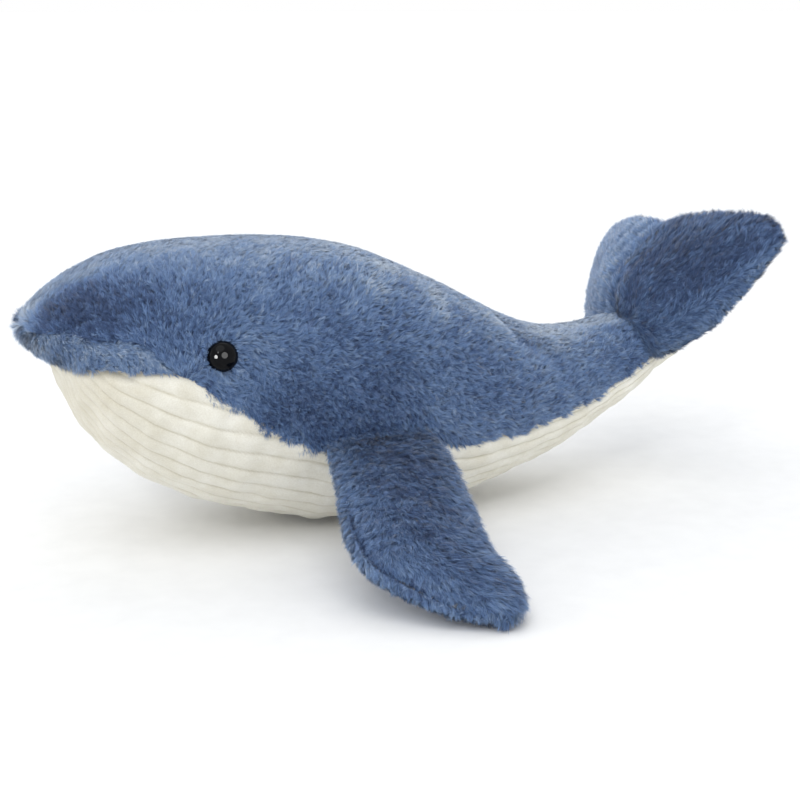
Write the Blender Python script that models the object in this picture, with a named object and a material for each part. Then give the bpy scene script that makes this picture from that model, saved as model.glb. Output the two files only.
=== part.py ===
"""A stuffed toy whale that lies on its belly, head towards -X and left side towards -Y.

Sewn panels of plush lie round fibre filling in five masses: the torso, the tail stock, the
fluke and two flippers. The tail stock bends on the torso, the fluke folds on the tail stock,
and each flipper flaps on the seam that holds it to the torso. Safety eyes are pushed through
the side panels and locked inside by washers. Lengths are in metres.
"""

import math

import bpy
from mathutils import Matrix, Vector

# Overall sizes
BODY_LENGTH = 0.406
BODY_HEIGHT = 0.168
BODY_WIDTH = 0.156
SNOUT_X = -0.21845

# Cloth, seams and clearances
BODY_CLOTH = 0.0045
LIMB_CLOTH = 0.0025
SEAM_GAP = 0.0004
FILLING_GAP = 0.0007
JOINT_GAP = 0.0006
CUT_OVERRUN = 0.020
FLAT_DEPTH = 0.0005

# Body sections, from the tip of the snout to the end of the tail stock. Each row is a point on
# the back line, a point on the belly line and a half width: the X values are shares of the body
# length, the Z values of the body height and the half width of half the body width.
BODY_SECTION_SHARES = (
    (0.000, 0.752, 0.000, 0.752, 0.000),
    (0.006, 0.788, 0.004, 0.705, 0.200),
    (0.023, 0.824, 0.014, 0.660, 0.335),
    (0.052, 0.876, 0.038, 0.606, 0.475),
    (0.088, 0.930, 0.055, 0.480, 0.610),
    (0.129, 0.972, 0.085, 0.357, 0.735),
    (0.190, 0.996, 0.135, 0.238, 0.845),
    (0.259, 1.002, 0.211, 0.131, 0.926),
    (0.335, 0.998, 0.298, 0.062, 0.978),
    (0.409, 0.979, 0.382, 0.006, 1.000),
    (0.483, 0.936, 0.455, -0.003, 0.984),
    (0.552, 0.864, 0.545, 0.004, 0.932),
    (0.618, 0.786, 0.618, 0.030, 0.856),
    (0.680, 0.704, 0.693, 0.078, 0.762),
    (0.737, 0.640, 0.762, 0.130, 0.664),
    (0.791, 0.604, 0.823, 0.196, 0.572),
    (0.842, 0.598, 0.877, 0.262, 0.496),
    (0.888, 0.614, 0.923, 0.316, 0.430),
    (0.928, 0.632, 0.961, 0.381, 0.375),
    (0.960, 0.644, 0.985, 0.420, 0.360),
    (0.990, 0.622, 1.004, 0.462, 0.335),
    (1.010, 0.540, 1.010, 0.540, 0.000),
)
WIDEST_LEVEL_SHARE = 0.46
SECTION_ROUNDNESS = 2.2

# Seam lines, as a level between the belly line, 0, and the back line, 1, for each section. The
# lip crease runs above the lip seam until both meet at the corner of the mouth.
SEAM_LEVEL_SHARES = (
    0.10, 0.10, 0.10, 0.15, 0.36, 0.47, 0.515, 0.445, 0.350, 0.315, 0.315,
    0.340, 0.348, 0.352, 0.375, 0.368, 0.394, 0.400, 0.420, 0.470, 0.490, 0.500,
)
CREASE_LEVEL_SHARES = (
    0.50, 0.50, 0.54, 0.53, 0.56, 0.61, 0.555, 0.530, 0.520, 0.500, 0.500,
    0.510, 0.520, 0.530, 0.550, 0.560, 0.580, 0.580, 0.600, 0.600, 0.600, 0.600,
)
CHIN_ROW = 2.8
LIP_END_ROW = 6.1
SNOUT_STATIONS = 4
SNOUT_STEPS = 2
BACK_COLUMNS = 6
LIP_COLUMNS = 2
BELLY_COLUMNS = 4

# Tail bend: the torso ends in a round face about a sideways axis, and the tail wraps it
TAIL_PIVOT_SHARE = 0.683
TAIL_PIVOT_LEVEL_SHARE = 0.377
TAIL_BEND_RADIUS_SHARE = 0.381
TAIL_FIRST_ROW = 13
TORSO_LAST_ROW = 16

# Fluke: a two-lobed pad whose root wraps the round end of the tail stock
FLUKE_PIVOT_SHARE = 0.938
FLUKE_PIVOT_LEVEL_SHARE = 0.506
FLUKE_RISE_DEG = 64.0
FLUKE_LEAN_DEG = 9.0
FLUKE_HALF_WIDTH = 0.0955
FLUKE_CHORD_LENGTH = 0.086
FLUKE_THICKNESS = 0.031
LEFT_LOBE_SWEEP = 0.013
RIGHT_LOBE_SWEEP = 0.025
FLUKE_SADDLE_RADIUS = 0.0250
FLUKE_SADDLE_HALF_WIDTH = 0.0340
# Rows of span, leading edge, trailing edge and thickness, as shares of the values above
FLUKE_SECTION_SHARES = (
    (0.000, 0.000, 0.942, 1.00),
    (0.200, -0.030, 0.990, 1.00),
    (0.400, -0.020, 1.012, 0.96),
    (0.560, 0.050, 1.020, 0.88),
    (0.700, 0.170, 1.025, 0.80),
    (0.820, 0.370, 1.020, 0.70),
    (0.910, 0.540, 1.000, 0.58),
    (0.970, 0.670, 0.955, 0.45),
    (1.000, 0.760, 0.900, 0.34),
)

# Flippers: flat pads sewn on along their root, tips on the floor
FLIPPER_ROW = 9.865
FLIPPER_LEVEL_SHARE = 0.375
FLIPPER_LENGTH = 0.145
FLIPPER_WIDTH = 0.072
FLIPPER_THICKNESS = 0.027
# Rows of length, sweep of the middle line, half width and thickness: the sweep is a share of the
# width, towards the tail when positive
FLIPPER_SECTION_SHARES = (
    (0.000, -0.130, 0.465, 0.39),
    (0.060, -0.130, 0.475, 0.62),
    (0.180, -0.150, 0.490, 0.88),
    (0.320, -0.205, 0.505, 1.00),
    (0.500, -0.275, 0.525, 1.00),
    (0.680, -0.295, 0.500, 0.95),
    (0.820, -0.185, 0.430, 0.86),
    (0.920, -0.100, 0.330, 0.74),
    (0.975, -0.040, 0.225, 0.60),
    (1.000, 0.000, 0.125, 0.46),
)

# Safety eyes
EYE_ROW = 6.78
EYE_LEVEL_SHARE = 0.625
EYE_RADIUS = 0.0083
EYE_DOME_HEIGHT = 0.0066
EYE_SINK = 0.0022
EYE_STEM_RADIUS = 0.0026
EYE_STEM_LENGTH = 0.0150
EYE_RIDGE = 0.0004
EYE_RIDGES = 3
EYE_TIP_SHARE = 0.6
EYE_HOLE_GAP = 0.0003
WASHER_RADIUS = 0.0092
WASHER_DEPTH = 0.0026
WASHER_THICKNESS = 0.0018
WASHER_LIP = 0.0012
POCKET_GAP = 0.0006

# Fineness of the meshes
PAD_CROSS_COLUMNS = 8
ROUND_SEGMENTS = 24
DOME_STEPS = 6
ARC_STEPS = 24
SLOPE_STEP = 0.01
SHARP_ANGLE_DEG = 40.0
LEFT = -1
RIGHT = 1


def smooth_rows(rows, place):
    """The row of a table at a place between its rows, on a Catmull-Rom curve through them."""
    last = len(rows) - 1
    index = min(int(place), last - 1)
    part = place - index
    before = rows[max(index - 1, 0)]
    here = rows[index]
    after = rows[index + 1]
    beyond = rows[min(index + 2, last)]
    return tuple(
        b + 0.5 * part * (c - a + part * (2 * a - 5 * b + 4 * c - d + part * (3 * (b - c) + d - a)))
        for a, b, c, d in zip(before, here, after, beyond)
    )


def level_angle(level):
    """The angle round a section at which the surface reaches a level."""
    if level < WIDEST_LEVEL_SHARE:
        rise = -((WIDEST_LEVEL_SHARE - level) / WIDEST_LEVEL_SHARE)
    else:
        rise = (level - WIDEST_LEVEL_SHARE) / (1 - WIDEST_LEVEL_SHARE)
    return math.copysign(math.asin(abs(rise) ** (SECTION_ROUNDNESS / 2)), rise)


def body_point(place, angle, side):
    """A point of the body's surface: angle is -90 degrees on the belly line and 90 on the back."""
    back_x, back_z, belly_x, belly_z, half_width = smooth_rows(BODY_SECTION_SHARES, place)
    rise = math.copysign(abs(math.sin(angle)) ** (2 / SECTION_ROUNDNESS), angle)
    reach = abs(math.cos(angle)) ** (2 / SECTION_ROUNDNESS)
    spread = (1 - WIDEST_LEVEL_SHARE) if rise > 0 else WIDEST_LEVEL_SHARE
    level = WIDEST_LEVEL_SHARE + rise * spread
    return Vector((
        SNOUT_X + BODY_LENGTH * (belly_x + level * (back_x - belly_x)),
        side * max(half_width, 0) * BODY_WIDTH / 2 * reach,
        BODY_HEIGHT * (belly_z + level * (back_z - belly_z)),
    ))


def body_normal(place, level, side):
    """The outward direction of the body's surface at a level, from the slopes along and around."""
    angle = level_angle(level)
    along = body_point(place + SLOPE_STEP, angle, side) - body_point(place - SLOPE_STEP, angle, side)
    around = body_point(place, angle + SLOPE_STEP, side) - body_point(place, angle - SLOPE_STEP, side)
    normal = along.cross(around).normalized()
    return normal if normal.y * side > 0 else -normal


def body_stations():
    """The places along the body that get a ring of points, closer together on the snout."""
    last = len(BODY_SECTION_SHARES) - 1
    places = {step / SNOUT_STEPS for step in range(1, SNOUT_STATIONS * SNOUT_STEPS)}
    places |= {float(step) for step in range(SNOUT_STATIONS, last)}
    places |= {CHIN_ROW, LIP_END_ROW}
    return sorted(places)


def half_ring_angles(place):
    """Angles from the belly line to the back line, with the seam and the crease among them."""
    seam = level_angle(smooth_rows(tuple(zip(SEAM_LEVEL_SHARES)), place)[0])
    crease = level_angle(smooth_rows(tuple(zip(CREASE_LEVEL_SHARES)), place)[0])
    marks = (
        (-math.pi / 2, seam, BELLY_COLUMNS),
        (seam, crease, LIP_COLUMNS),
        (crease, math.pi / 2, BACK_COLUMNS),
    )
    angles = [
        low + (high - low) * step / steps for low, high, steps in marks for step in range(steps)
    ]
    return angles + [math.pi / 2]


def body_panel(place, column):
    """The name of the panel that a cell of the body belongs to."""
    if column >= BELLY_COLUMNS + LIP_COLUMNS:
        return "side"
    if column >= BELLY_COLUMNS:
        return "lip" if place < LIP_END_ROW else "side"
    return "lip" if place < CHIN_ROW else "belly"


def halves(points, face):
    """A cell of four corners as two triangles that meet on its shorter diagonal."""
    a, b, c, d = face
    if (points[a] - points[c]).length < (points[b] - points[d]).length:
        return [(a, b, c), (a, c, d)]
    return [(a, b, d), (b, c, d)]


def body_form():
    """The body's whole surface: points, faces, and for each face its panel, side and place."""
    places = body_stations()
    half_columns = BELLY_COLUMNS + LIP_COLUMNS + BACK_COLUMNS
    around = 2 * half_columns
    points = [body_point(0, 0, RIGHT)]
    for place in places:
        angles = half_ring_angles(place)
        points += [body_point(place, angle, LEFT) for angle in angles]
        points += [body_point(place, angle, RIGHT) for angle in angles[-2:0:-1]]
    points.append(body_point(len(BODY_SECTION_SHARES) - 1, 0, RIGHT))
    faces = []
    labels = []
    starts = [0.0] + places
    for ring, start in enumerate(starts):
        for column in range(around):
            after = (column + 1) % around
            low = 1 + (ring - 1) * around
            high = 1 + ring * around
            if ring == 0:
                cell = [(0, high + column, high + after)]
            elif ring == len(places):
                cell = [(low + after, low + column, len(points) - 1)]
            else:
                cell = halves(points, (low + after, low + column, high + column, high + after))
            half_column = min(column, around - 1 - column)
            side = LEFT if column < half_columns else RIGHT
            faces += cell
            labels += [(body_panel(start, half_column), side, start)] * len(cell)
    return points, faces, labels


def pad_form(points_at, length_places):
    """A closed pad: an upper and a lower sheet of points over one outline, joined at its edge.

    The diagonals of the cells run out to the four corners of the outline.
    """
    rows = len(length_places)
    columns = PAD_CROSS_COLUMNS
    index = {}
    points = []
    for sheet in (1, -1):
        for row in range(rows):
            for column in range(columns + 1):
                at_edge = row in (0, rows - 1) or column in (0, columns)
                if at_edge and sheet < 0:
                    index[sheet, row, column] = index[1, row, column]
                    continue
                across = -math.cos(math.pi * column / columns)
                index[sheet, row, column] = len(points)
                points.append(points_at(length_places[row], across, 0 if at_edge else sheet))
    faces = []
    labels = []
    for sheet in (1, -1):
        for row in range(rows - 1):
            for column in range(columns):
                a = index[sheet, row, column]
                b = index[sheet, row, column + 1]
                c = index[sheet, row + 1, column + 1]
                d = index[sheet, row + 1, column]
                if (2 * row < rows - 1) == (2 * column < columns):
                    cell = [(a, b, c), (a, c, d)]
                else:
                    cell = [(a, b, d), (b, c, d)]
                faces += cell if sheet > 0 else [tuple(reversed(half)) for half in cell]
                labels += ["upper" if sheet > 0 else "lower"] * len(cell)
    return points, faces, labels


def rounded(share):
    """How thick a pad is at a share of the way across it, as a share of its full thickness."""
    return math.sqrt(max(1 - share * share, 0))


def fluke_place():
    """The fluke's frame: its origin on the hinge, X along the chord, Y across and Z to the front."""
    turn = Matrix.Rotation(-math.radians(FLUKE_RISE_DEG), 4, "Y")
    lean = Matrix.Rotation(math.radians(FLUKE_LEAN_DEG), 4, "Z")
    return Matrix.Translation(fluke_pivot()) @ turn @ lean


def fluke_pivot():
    return Vector((
        SNOUT_X + BODY_LENGTH * FLUKE_PIVOT_SHARE,
        0,
        BODY_HEIGHT * FLUKE_PIVOT_LEVEL_SHARE,
    ))


def tail_pivot():
    return Vector((
        SNOUT_X + BODY_LENGTH * TAIL_PIVOT_SHARE,
        0,
        BODY_HEIGHT * TAIL_PIVOT_LEVEL_SHARE,
    ))


def tail_bend_radius():
    """The radius of the round face at the tail bend, which clears the body from back to belly."""
    return BODY_HEIGHT * TAIL_BEND_RADIUS_SHARE


def fluke_form():
    """The fluke's surface, from lobe tip to lobe tip."""
    rows = FLUKE_SECTION_SHARES
    last = len(rows) - 1
    place = fluke_place()

    def point_at(signed_row, across, sheet):
        span, lead, trail, thick = smooth_rows(rows, abs(signed_row))
        middle = (lead + trail) / 2
        half_chord = (trail - lead) / 2
        height = FLUKE_THICKNESS / 2 * thick * rounded(across)
        sweep = LEFT_LOBE_SWEEP if signed_row < 0 else RIGHT_LOBE_SWEEP
        return place @ Vector((
            FLUKE_CHORD_LENGTH * (middle + across * half_chord),
            math.copysign(FLUKE_HALF_WIDTH * span, signed_row),
            sheet * height - sweep * span * span,
        ))

    return pad_form(point_at, [float(row) for row in range(-last, last + 1)])


def flipper_root_reach():
    """How far the flipper's root edge lies inside its flapping axis."""
    return FLIPPER_THICKNESS / 2 * FLIPPER_SECTION_SHARES[0][3]


def flipper_pivot(side):
    """The flapping axis, set out from the body by half the thickness of the flipper's root."""
    root = body_point(FLIPPER_ROW, level_angle(FLIPPER_LEVEL_SHARE), side)
    return root + Vector((0, side * (flipper_root_reach() + JOINT_GAP), 0))


def flipper_droop():
    """The angle below level at which the flipper's underside sinks into the floor by its flat."""
    drop = flipper_pivot(LEFT).z + FLAT_DEPTH
    angles = []
    for length, _, _, thick in FLIPPER_SECTION_SHARES[:-1]:
        reach = FLIPPER_LENGTH * length - flipper_root_reach()
        under = FLIPPER_THICKNESS / 2 * thick
        far = math.hypot(reach, under)
        if far > drop and reach > 0:
            angles.append(math.asin(drop / far) - math.atan2(under, reach))
    return min(angles)


def flipper_form(side):
    """One flipper's surface. Its root edge is a rounded end about the flapping axis."""
    rows = FLIPPER_SECTION_SHARES
    droop = flipper_droop()
    outward = Vector((0, side * math.cos(droop), -math.sin(droop)))
    upward = Vector((0, side * math.sin(droop), math.cos(droop)))
    pivot = flipper_pivot(side)

    def point_at(row, across, sheet):
        length, sweep, half_width, thick = smooth_rows(rows, row)
        height = FLIPPER_THICKNESS / 2 * thick * rounded(across)
        offset = Vector((FLIPPER_WIDTH * (sweep + half_width * across), 0, 0))
        reach = FLIPPER_LENGTH * length - flipper_root_reach()
        return pivot + offset + outward * reach + upward * (sheet * height)

    points, faces, labels = pad_form(point_at, [float(row) for row in range(len(rows))])
    if side == LEFT:
        faces = [tuple(reversed(face)) for face in faces]
    return points, faces, labels


def surface_normals(points, faces):
    """The outward direction at each point of a closed surface."""
    mesh = bpy.data.meshes.new("surface")
    mesh.from_pydata(points, [], faces)
    normals = [entry.vector.copy() for entry in mesh.vertex_normals]
    bpy.data.meshes.remove(mesh)
    return normals


def border_edges(faces):
    """The edges with a face on one side only, each in that face's own direction."""
    edges = {(a, b) for face in faces for a, b in zip(face, face[1:] + face[:1])}
    return [(a, b) for a, b in edges if (b, a) not in edges]


def add_object(name, points, faces, material):
    mesh = bpy.data.meshes.new(name)
    mesh.from_pydata(points, [], faces)
    mesh.materials.append(material)
    mesh.shade_smooth()
    mesh.set_sharp_from_angle(angle=math.radians(SHARP_ANGLE_DEG))
    obj = bpy.data.objects.new(name, mesh)
    bpy.context.scene.collection.objects.link(obj)
    return obj


def add_panel(name, form, chosen, cloth, material):
    """A sewn panel: the chosen faces of a surface as cloth of even thickness, inset at its seams."""
    points, all_faces, labels = form
    normals = surface_normals(points, all_faces)
    faces = [face for face, label in zip(all_faces, labels) if chosen(label)]
    borders = border_edges(faces)
    inward = {}
    for a, b in borders:
        for corner in (a, b):
            turn = normals[corner].cross((points[b] - points[a]).normalized())
            inward[corner] = inward.get(corner, Vector()) + turn
    used = sorted({corner for face in faces for corner in face})
    outer = {corner: number for number, corner in enumerate(used)}
    placed = {
        corner: points[corner] + inward.get(corner, Vector()).normalized() * (SEAM_GAP / 2)
        for corner in used
    }
    shell_points = [placed[corner] for corner in used]
    shell_points += [placed[corner] - normals[corner] * cloth for corner in used]
    count = len(used)
    shell = [tuple(outer[corner] for corner in face) for face in faces]
    shell += [tuple(outer[corner] + count for corner in reversed(face)) for face in faces]
    shell += [(outer[b], outer[a], outer[a] + count, outer[b] + count) for a, b in borders]
    return add_object(name, shell_points, shell, material)


def add_filling(name, form, chosen, inset, material):
    """The stuffing inside a surface. Where the chosen faces stop, it ends in one flat face."""
    points, all_faces, labels = form
    normals = surface_normals(points, all_faces)
    faces = [face for face, label in zip(all_faces, labels) if chosen(label)]
    after = {b: a for a, b in border_edges(faces)}
    if after:
        cap = [next(iter(after))]
        while after[cap[-1]] != cap[0]:
            cap.append(after[cap[-1]])
        faces.append(tuple(cap))
    used = sorted({corner for face in faces for corner in face})
    number = {corner: position for position, corner in enumerate(used)}
    inner = [points[corner] - normals[corner] * inset for corner in used]
    return add_object(name, inner, [tuple(number[c] for c in face) for face in faces], material)


def add_turned(name, profile, place, material):
    """A solid turned about Z from a profile of radius and height that starts and ends on the axis."""
    points = [Vector((0, 0, profile[0][1]))]
    rings = profile[1:-1]
    for radius, height in rings:
        for segment in range(ROUND_SEGMENTS):
            angle = 2 * math.pi * segment / ROUND_SEGMENTS
            points.append(Vector((radius * math.cos(angle), radius * math.sin(angle), height)))
    points.append(Vector((0, 0, profile[-1][1])))
    faces = []
    for segment in range(ROUND_SEGMENTS):
        after = (segment + 1) % ROUND_SEGMENTS
        faces.append((0, 1 + after, 1 + segment))
        for ring in range(len(rings) - 1):
            low = 1 + ring * ROUND_SEGMENTS
            high = low + ROUND_SEGMENTS
            faces.append((low + segment, low + after, high + after, high + segment))
        low = 1 + (len(rings) - 1) * ROUND_SEGMENTS
        faces.append((low + segment, low + after, len(points) - 1))
    obj = add_object(name, points, faces, material)
    obj.matrix_world = place
    return obj


def add_prism(name, outline, half_width):
    """A cutter with an outline in the XZ plane, drawn out sideways by a half width each way."""
    count = len(outline)
    points = [Vector((x, side * half_width, z)) for side in (LEFT, RIGHT) for x, z in outline]
    faces = [tuple(range(count)), tuple(reversed(range(count, 2 * count)))]
    for corner in range(count):
        after = (corner + 1) % count
        faces.append((after, corner, corner + count, after + count))
    mesh = bpy.data.meshes.new(name)
    mesh.from_pydata(points, [], faces)
    return hide(bpy.data.objects.new(name, mesh), linked=False)


def hide(obj, linked=True):
    """Marks an object as a helper that isn't part of the toy."""
    if not linked:
        bpy.context.scene.collection.objects.link(obj)
    obj.hide_render = True
    obj.display_type = "WIRE"
    return obj


def boolean(obj, operation, cutter):
    modifier = obj.modifiers.new(f"{operation.lower()} {cutter.name}", "BOOLEAN")
    modifier.operation = operation
    modifier.object = cutter
    modifier.solver = "EXACT"


def arc(centre, radius, start, end):
    """Points of an arc in the XZ plane, between two angles from +X towards +Z."""
    return [
        (
            centre.x + radius * math.cos(start + (end - start) * step / ARC_STEPS),
            centre.z + radius * math.sin(start + (end - start) * step / ARC_STEPS),
        )
        for step in range(ARC_STEPS + 1)
    ]


def add_material(name, colour, roughness, metallic=0.0):
    material = bpy.data.materials.new(name)
    material.use_nodes = True
    shader = material.node_tree.nodes["Principled BSDF"]
    shader.inputs["Base Color"].default_value = (*colour, 1)
    shader.inputs["Roughness"].default_value = roughness
    shader.inputs["Metallic"].default_value = metallic
    return material


def add_joint(name, place):
    """An empty on a joint's axis, which carries the pieces that move with it."""
    joint = bpy.data.objects.new(name, None)
    joint.location = place
    bpy.context.scene.collection.objects.link(joint)
    return joint


def carry(joint, pieces):
    """Parents pieces to a joint and leaves them where they are."""
    for piece in pieces:
        piece.parent = joint
        piece.matrix_parent_inverse = Matrix.Translation(joint.location).inverted()


def add_torso(form, cutters, materials):
    """The torso's five panels and its filling, rounded at the rear where the tail bends."""
    front = [
        add_panel(f"{word}_side_panel", form,
                  lambda label, side=side: label[0] == "side" and label[1] == side
                  and label[2] < TORSO_LAST_ROW,
                  BODY_CLOTH, materials["blue plush"])
        for word, side in (("left", LEFT), ("right", RIGHT))
    ]
    lip = add_panel("lip_band", form, lambda label: label[0] == "lip",
                    BODY_CLOTH, materials["blue plush"])
    belly = add_panel("belly_panel", form,
                      lambda label: label[0] == "belly" and label[2] < TORSO_LAST_ROW,
                      BODY_CLOTH, materials["white ribbed plush"])
    filling = add_filling("torso_filling", form, lambda label: label[2] < TORSO_LAST_ROW,
                          BODY_CLOTH + FILLING_GAP, materials["fibre filling"])
    for piece in front + [belly, filling]:
        boolean(piece, "INTERSECT", cutters["torso end"])
    boolean(belly, "DIFFERENCE", cutters["floor"])
    return front, lip, belly, filling


def add_tail(form, cutters, materials):
    """The tail stock: two blue panels, a white one underneath and filling, with a round end."""
    pieces = [
        add_panel(f"{word}_tail_panel", form,
                  lambda label, side=side: label[0] == "side" and label[1] == side
                  and label[2] >= TAIL_FIRST_ROW,
                  BODY_CLOTH, materials["blue plush"])
        for word, side in (("left", LEFT), ("right", RIGHT))
    ]
    pieces.append(add_panel("tail_belly_panel", form,
                            lambda label: label[0] == "belly" and label[2] >= TAIL_FIRST_ROW,
                            BODY_CLOTH, materials["white ribbed plush"]))
    pieces.append(add_filling("tail_filling", form, lambda label: label[2] >= TAIL_FIRST_ROW,
                              BODY_CLOTH + FILLING_GAP, materials["fibre filling"]))
    for piece in pieces:
        boolean(piece, "DIFFERENCE", cutters["tail socket"])
        boolean(piece, "INTERSECT", cutters["stock end"])
    return pieces


def add_pad(words, form, materials):
    """An upper panel, a lower panel and the filling of a fluke or a flipper."""
    upper = add_panel(f"{words}_upper_panel", form, lambda label: label == "upper",
                      LIMB_CLOTH, materials["blue plush"])
    lower = add_panel(f"{words}_lower_panel", form, lambda label: label == "lower",
                      LIMB_CLOTH, materials["blue plush"])
    filling = add_filling(f"{words}_filling", form, lambda label: True,
                          LIMB_CLOTH + FILLING_GAP, materials["fibre filling"])
    return [upper, lower, filling]


def eye_place(side):
    """The eye's frame: its origin on the plush surface and Z pointing out of the head."""
    point = body_point(EYE_ROW, level_angle(EYE_LEVEL_SHARE), side)
    normal = body_normal(EYE_ROW, EYE_LEVEL_SHARE, side)
    return Matrix.Translation(point) @ normal.to_track_quat("Z", "X").to_matrix().to_4x4()


def eye_profile():
    """From the end of the stem, up its ridges, under the dome and over it."""
    back = -EYE_SINK
    end = back - EYE_STEM_LENGTH
    profile = [(0, end), (EYE_STEM_RADIUS * EYE_TIP_SHARE, end)]
    pitch = EYE_STEM_LENGTH / (2 * EYE_RIDGES + 1)
    for ridge in range(EYE_RIDGES):
        foot = end + pitch * (2 * ridge + 1)
        profile.append((EYE_STEM_RADIUS, foot))
        profile.append((EYE_STEM_RADIUS - EYE_RIDGE, foot + pitch))
    profile.append((EYE_STEM_RADIUS - EYE_RIDGE, back))
    for step in range(DOME_STEPS):
        angle = math.pi / 2 * step / DOME_STEPS
        profile.append((EYE_RADIUS * math.cos(angle), back + EYE_DOME_HEIGHT * math.sin(angle)))
    profile.append((0, back + EYE_DOME_HEIGHT))
    return profile


def washer_profile(top):
    low = top - WASHER_THICKNESS
    return [
        (0, low),
        (WASHER_RADIUS - WASHER_LIP, low),
        (WASHER_RADIUS, low + WASHER_LIP),
        (WASHER_RADIUS, top),
        (0, top),
    ]


def round_profile(radius, low, high):
    return [(0, low), (radius, low), (radius, high), (0, high)]


def add_eye(word, side, panel, filling, materials):
    """A safety eye through its side panel and the washer that locks it inside the filling."""
    place = eye_place(side)
    back = -EYE_SINK
    eye = add_turned(f"{word}_eye", eye_profile(), place, materials["black eye"])
    washer_top = -(BODY_CLOTH + WASHER_DEPTH)
    washer = add_turned(f"{word}_eye_washer", washer_profile(washer_top), place,
                        materials["washer plastic"])
    reach = back - EYE_STEM_LENGTH - POCKET_GAP
    hole_radius = EYE_STEM_RADIUS + EYE_HOLE_GAP
    hole = hide(add_turned(f"{word} stem hole",
                           round_profile(hole_radius, reach - CUT_OVERRUN, CUT_OVERRUN),
                           place, materials["black eye"]))
    seat = hide(add_turned(f"{word} dome seat",
                           round_profile(EYE_RADIUS + EYE_HOLE_GAP, back - EYE_HOLE_GAP, CUT_OVERRUN),
                           place, materials["black eye"]))
    pocket = hide(add_turned(f"{word} washer pocket",
                             round_profile(WASHER_RADIUS + POCKET_GAP, reach, CUT_OVERRUN),
                             place, materials["black eye"]))
    for cutter in (hole, seat):
        boolean(panel, "DIFFERENCE", cutter)
    boolean(washer, "DIFFERENCE", hole)
    boolean(filling, "DIFFERENCE", pocket)


def round_end(front, centre, radius):
    """An outline that holds all in front of a centre and a half disc behind it."""
    tall = BODY_HEIGHT + CUT_OVERRUN
    return [
        (front, centre.z - tall),
        (centre.x, centre.z - tall),
        *arc(centre, radius, -math.pi / 2, math.pi / 2),
        (centre.x, centre.z + tall),
        (front, centre.z + tall),
    ]


def add_cutters():
    """The shapes that cut the joints and the flat rest."""
    tail = tail_pivot()
    fluke = fluke_pivot()
    quarter = math.pi / 2
    front = SNOUT_X - CUT_OVERRUN
    torso_end = round_end(front, tail, tail_bend_radius() - JOINT_GAP / 2)
    stock_end = round_end(front, fluke, FLUKE_SADDLE_RADIUS - JOINT_GAP)
    socket = arc(tail, tail_bend_radius() + JOINT_GAP / 2, -quarter, 3 * quarter)[:-1]
    saddle = arc(fluke, FLUKE_SADDLE_RADIUS, -quarter, 3 * quarter)[:-1]
    back = SNOUT_X + BODY_LENGTH + FLUKE_CHORD_LENGTH
    floor = [(front, -CUT_OVERRUN), (back, -CUT_OVERRUN), (back, 0), (front, 0)]
    reach = BODY_WIDTH + FLIPPER_LENGTH
    return {
        "torso end": add_prism("torso end cutter", torso_end, BODY_WIDTH),
        "tail socket": add_prism("tail socket cutter", socket, BODY_WIDTH),
        "stock end": add_prism("stock end cutter", stock_end, BODY_WIDTH),
        "fluke saddle": add_prism("fluke saddle cutter", saddle, FLUKE_SADDLE_HALF_WIDTH),
        "floor": add_prism("floor cutter", floor, reach),
    }


def add_materials():
    return {
        "blue plush": add_material("blue plush", (0.095, 0.170, 0.340), 0.95),
        "white ribbed plush": add_material("white ribbed plush", (0.82, 0.79, 0.72), 0.95),
        "fibre filling": add_material("fibre filling", (0.86, 0.86, 0.84), 1.0),
        "black eye": add_material("black eye", (0.008, 0.009, 0.014), 0.08),
        "washer plastic": add_material("washer plastic", (0.75, 0.75, 0.73), 0.45),
    }


def build():
    for obj in list(bpy.data.objects):
        bpy.data.objects.remove(obj, do_unlink=True)
    materials = add_materials()
    cutters = add_cutters()
    body = body_form()

    sides, lip, belly, filling = add_torso(body, cutters, materials)
    for word, side, panel in (("left", LEFT, sides[0]), ("right", RIGHT, sides[1])):
        add_eye(word, side, panel, filling, materials)

    tail_joint = add_joint("tail bend axis", tail_pivot())
    carry(tail_joint, add_tail(body, cutters, materials))

    fluke_joint = add_joint("fluke tilt axis", fluke_pivot())
    fluke = add_pad("fluke", fluke_form(), materials)
    for piece in fluke:
        boolean(piece, "DIFFERENCE", cutters["fluke saddle"])
    carry(fluke_joint, fluke)

    for word, side in (("left", LEFT), ("right", RIGHT)):
        joint = add_joint(f"{word} flipper axis", flipper_pivot(side))
        flipper = add_pad(f"{word}_flipper", flipper_form(side), materials)
        boolean(flipper[1], "DIFFERENCE", cutters["floor"])
        carry(joint, flipper)


build()
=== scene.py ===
"""A plush whale on a pale floor: deep-pile blue plush, a ribbed cream belly and safety eyes.

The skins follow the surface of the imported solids, set in by the height of their pile, and the
pile stands on them as tufts of fine blades. Lengths are in metres and angles in degrees unless a
name says otherwise.
"""

import math

import bmesh
import bpy
import numpy as np
from mathutils import Matrix, Vector


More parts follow.
